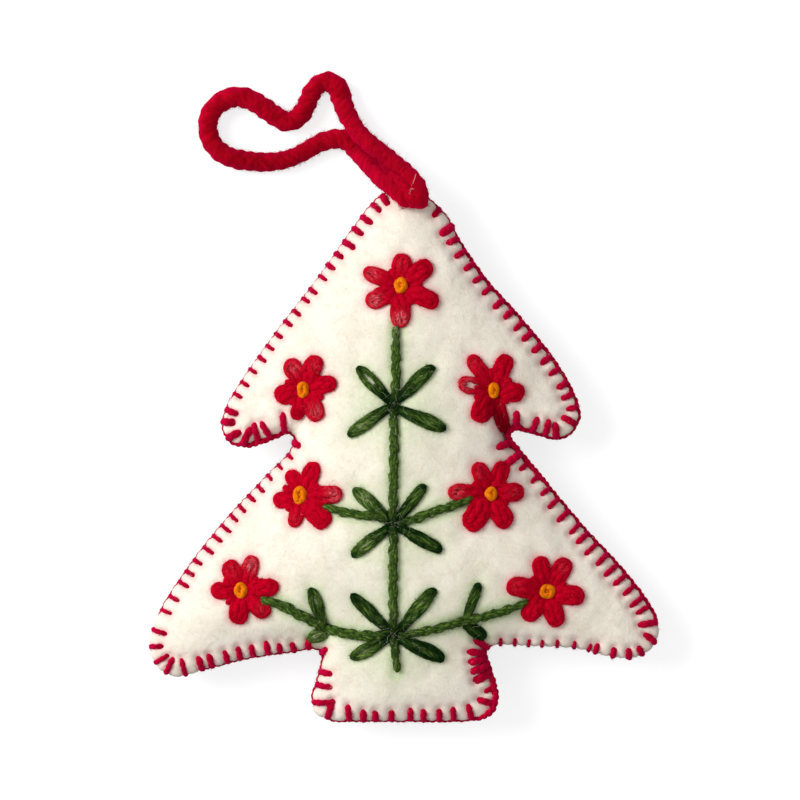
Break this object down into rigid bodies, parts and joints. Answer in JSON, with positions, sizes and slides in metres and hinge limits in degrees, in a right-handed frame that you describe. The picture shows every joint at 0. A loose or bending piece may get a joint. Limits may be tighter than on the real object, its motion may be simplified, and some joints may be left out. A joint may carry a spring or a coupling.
{
  "type": "felt christmas tree",
  "caption": "Stuffed felt tree ornament in two tiers on a trunk, with a blanket-stitched edge, wool flowers and leaves embroidered on its front, and a wool hanging loop at its tip.",
  "frame": {"origin": "under the middle of the stitched tree, on the surface that the tree lies on", "axes": "+X across the tree, to the right as its front is seen; +Y from the trunk towards the tip; +Z out of its front"},
  "size_m": [0.1125, 0.1441, 0.022],
  "materials": {
    "cream_felt": "matte wool felt with a light nap",
    "white_fibre": "loose white fibre fill",
    "red_yarn": "red wool yarn",
    "red_cord": "dark red fuzzy wool cord",
    "green_yarn": "green wool yarn",
    "orange_yarn": "orange wool yarn"
  },
  "bodies": {
    "root": {"back_panel": "cream_felt", "edge_stitch": "red_yarn", "front_panel": "cream_felt", "hanging_loop": "red_cord", "left_branch_leaf_high": "green_yarn", "left_branch_leaf_low": "green_yarn", "lower_leaf_left_high": "green_yarn", "lower_leaf_left_low": "green_yarn", "lower_leaf_right_high": "green_yarn", "lower_leaf_right_low": "green_yarn", "lower_left_branch": "green_yarn", "lower_left_flower": "red_yarn", "lower_left_knot": "orange_yarn", "lower_right_branch": "green_yarn", "lower_right_flower": "red_yarn", "lower_right_knot": "orange_yarn", "middle_leaf_left_high": "green_yarn", "middle_leaf_left_low": "green_yarn", "middle_leaf_right_high": "green_yarn", "middle_leaf_right_low": "green_yarn", "middle_left_branch": "green_yarn", "middle_left_flower": "red_yarn", "middle_left_knot": "orange_yarn", "middle_right_branch": "green_yarn", "middle_right_flower": "red_yarn", "middle_right_knot": "orange_yarn", "right_branch_leaf_high": "green_yarn", "right_branch_leaf_low": "green_yarn", "stem": "green_yarn", "stuffing": "white_fibre", "top_flower": "red_yarn", "top_knot": "orange_yarn", "upper_leaf_left_high": "green_yarn", "upper_leaf_left_low": "green_yarn", "upper_leaf_right_high": "green_yarn", "upper_leaf_right_low": "green_yarn", "upper_left_flower": "red_yarn", "upper_left_knot": "orange_yarn", "upper_right_flower": "red_yarn", "upper_right_knot": "orange_yarn"}
  },
  "joints": []
}
